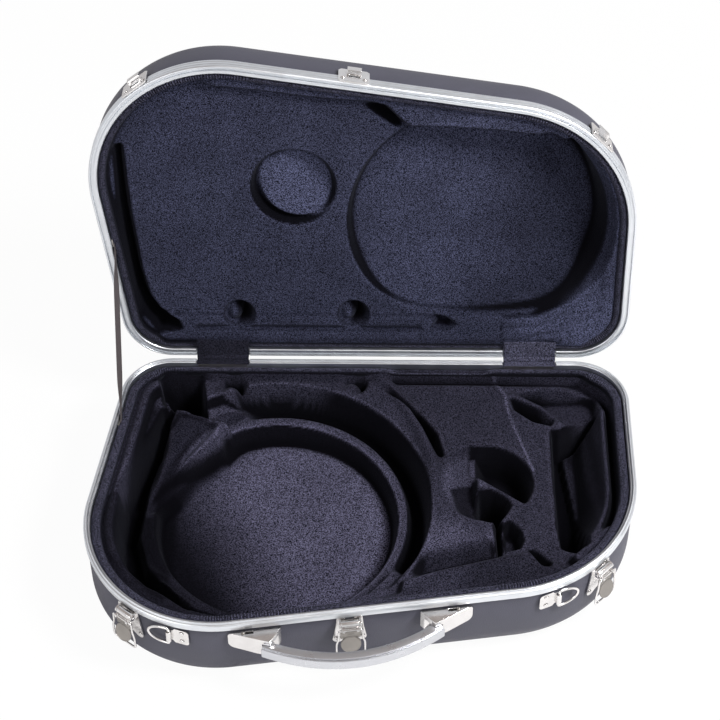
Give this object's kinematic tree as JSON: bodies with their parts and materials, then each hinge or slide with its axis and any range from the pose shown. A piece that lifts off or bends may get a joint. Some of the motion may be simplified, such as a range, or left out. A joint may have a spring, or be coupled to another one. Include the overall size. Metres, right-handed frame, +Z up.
{
  "type": "french horn case",
  "caption": "Hard moulded case for a detachable-bell french horn, with an asymmetric outline, fitted lining, hinged lid, draw latches and a carrying handle.",
  "frame": {"origin": "middle of the underside of the box round the whole case as it stands open", "axes": "+X along the hinge line to the right as seen from the handle side, +Y to the hinge at the back, +Z up"},
  "size_m": [0.58, 0.533, 0.4536],
  "materials": {
    "shell": "charcoal grey moulded shell with a fine pebble texture",
    "rim": "extruded aluminium with fine length-wise lines",
    "plush": "very dark blue-black short pile plush",
    "nickel": "polished nickel plate",
    "grip": "satin metal grip with polished edges",
    "flap_cloth": "dark cloth over the hinges",
    "strap_webbing": "narrow dark brown woven ribbon"
  },
  "bodies": {
    "base": {"base_lining": "plush", "base_rim": "rim", "base_shell": "shell", "dring_left_rivet_1": "nickel", "dring_left_rivet_2": "nickel", "dring_plate_left": "nickel", "dring_plate_right": "nickel", "dring_right_rivet_1": "nickel", "dring_right_rivet_2": "nickel", "handle_bracket_left": "nickel", "handle_bracket_right": "nickel", "hinge_flap_left": "flap_cloth", "hinge_flap_right": "flap_cloth", "hinge_left_base_leaf": "nickel", "hinge_left_pin": "nickel", "hinge_right_base_leaf": "nickel", "hinge_right_pin": "nickel", "latch_center_pin": "nickel", "latch_center_plate": "nickel", "latch_center_rivet_1": "nickel", "latch_center_rivet_2": "nickel", "latch_left_pin": "nickel", "latch_left_plate": "nickel", "latch_left_rivet_1": "nickel", "latch_left_rivet_2": "nickel", "latch_right_pin": "nickel", "latch_right_plate": "nickel", "latch_right_rivet_1": "nickel", "latch_right_rivet_2": "nickel", "stay_strap": "strap_webbing", "strap_anchor_base": "nickel", "strap_rivet_base": "nickel"},
    "lid": {"lid_shell": "shell", "lid_rim": "rim", "lid_lining": "plush", "strap_anchor_lid": "nickel", "strap_rivet_lid": "nickel", "hinge_left_lid_leaf": "nickel", "hinge_right_lid_leaf": "nickel", "keeper_center": "nickel", "keeper_center_rivet_1": "nickel", "keeper_center_rivet_2": "nickel", "keeper_left": "nickel", "keeper_left_rivet_1": "nickel", "keeper_left_rivet_2": "nickel", "keeper_right": "nickel", "keeper_right_rivet_1": "nickel", "keeper_right_rivet_2": "nickel"},
    "latch_lever_left": {"latch_left_lever": "nickel"},
    "latch_lever_center": {"latch_center_lever": "nickel"},
    "latch_lever_right": {"latch_right_lever": "nickel"},
    "latch_bail_left": {"latch_left_bail": "nickel"},
    "latch_bail_center": {"latch_center_bail": "nickel"},
    "latch_bail_right": {"latch_right_bail": "nickel"},
    "ring_left": {"d_ring_left": "nickel"},
    "ring_right": {"d_ring_right": "nickel"},
    "grip": {"handle_grip": "grip"},
    "grip_pin_left": {"handle_pin_left": "nickel"},
    "grip_pin_right": {"handle_pin_right": "nickel"}
  },
  "joints": [
    {"name": "lid_hinge", "type": "hinge", "parent": "base", "child": "lid", "pos_m": [0, 0.12248, 0.1003], "axis": [1, 0, 0], "range_deg": [0, 102.3], "deforming": ["stay_strap", "hinge_flap_left", "hinge_flap_right"]},
    {"name": "latch_left_lift", "type": "hinge", "parent": "base", "child": "latch_lever_left", "pos_m": [-0.23833, -0.21413, 0.086], "axis": [-0.7929, 0.6093, 0], "range_deg": [0, 110]},
    {"name": "latch_left_bail_swing", "type": "hinge", "parent": "latch_lever_left", "child": "latch_bail_left", "pos_m": [-0.2415, -0.21826, 0.0822], "axis": [0.7929, -0.6093, 0], "range_deg": [-180, 0]},
    {"name": "latch_center_lift", "type": "hinge", "parent": "base", "child": "latch_lever_center", "pos_m": [-0.01078, -0.22501, 0.086], "axis": [-0.9894, -0.1452, 0], "range_deg": [0, 36]},
    {"name": "latch_center_bail_swing", "type": "hinge", "parent": "latch_lever_center", "child": "latch_bail_center", "pos_m": [-0.01002, -0.23015, 0.0822], "axis": [0.9894, 0.1452, 0], "range_deg": [-46, 0]},
    {"name": "latch_right_lift", "type": "hinge", "parent": "base", "child": "latch_lever_right", "pos_m": [0.24915, -0.15524, 0.086], "axis": [-0.7028, -0.7114, 0], "range_deg": [0, 110]},
    {"name": "latch_right_bail_swing", "type": "hinge", "parent": "latch_lever_right", "child": "latch_bail_right", "pos_m": [0.25285, -0.15889, 0.0822], "axis": [0.7028, 0.7114, 0], "range_deg": [-180, 0]},
    {"name": "d_ring_left_swing", "type": "hinge", "parent": "base", "child": "ring_left", "pos_m": [-0.19366, -0.23422, 0.076], "axis": [0, 0, 1], "range_deg": [0, 150]},
    {"name": "d_ring_right_swing", "type": "hinge", "parent": "base", "child": "ring_right", "pos_m": [0.20207, -0.18458, 0.076], "axis": [0, 0, -1], "range_deg": [0, 150]},
    {"name": "handle_flex", "type": "slide", "parent": "base", "child": "grip", "axis": [0.1452, -0.9894, 0], "range_m": [0, 0.004], "stiffness_N_per_m": 1500},
    {"name": "handle_pin_left_slide", "type": "slide", "parent": "base", "child": "grip_pin_left", "axis": [0.9894, 0.1452, 0], "range_m": [0, 0.009]},
    {"name": "handle_pin_right_slide", "type": "slide", "parent": "base", "child": "grip_pin_right", "axis": [-0.9894, -0.1452, 0], "range_m": [0, 0.009]}
  ],
  "couplings": [
    {"joint": "handle_pin_left_slide", "follows": "handle_flex", "ratio": 2.25},
    {"joint": "handle_pin_right_slide", "follows": "handle_flex", "ratio": 2.25}
  ]
}
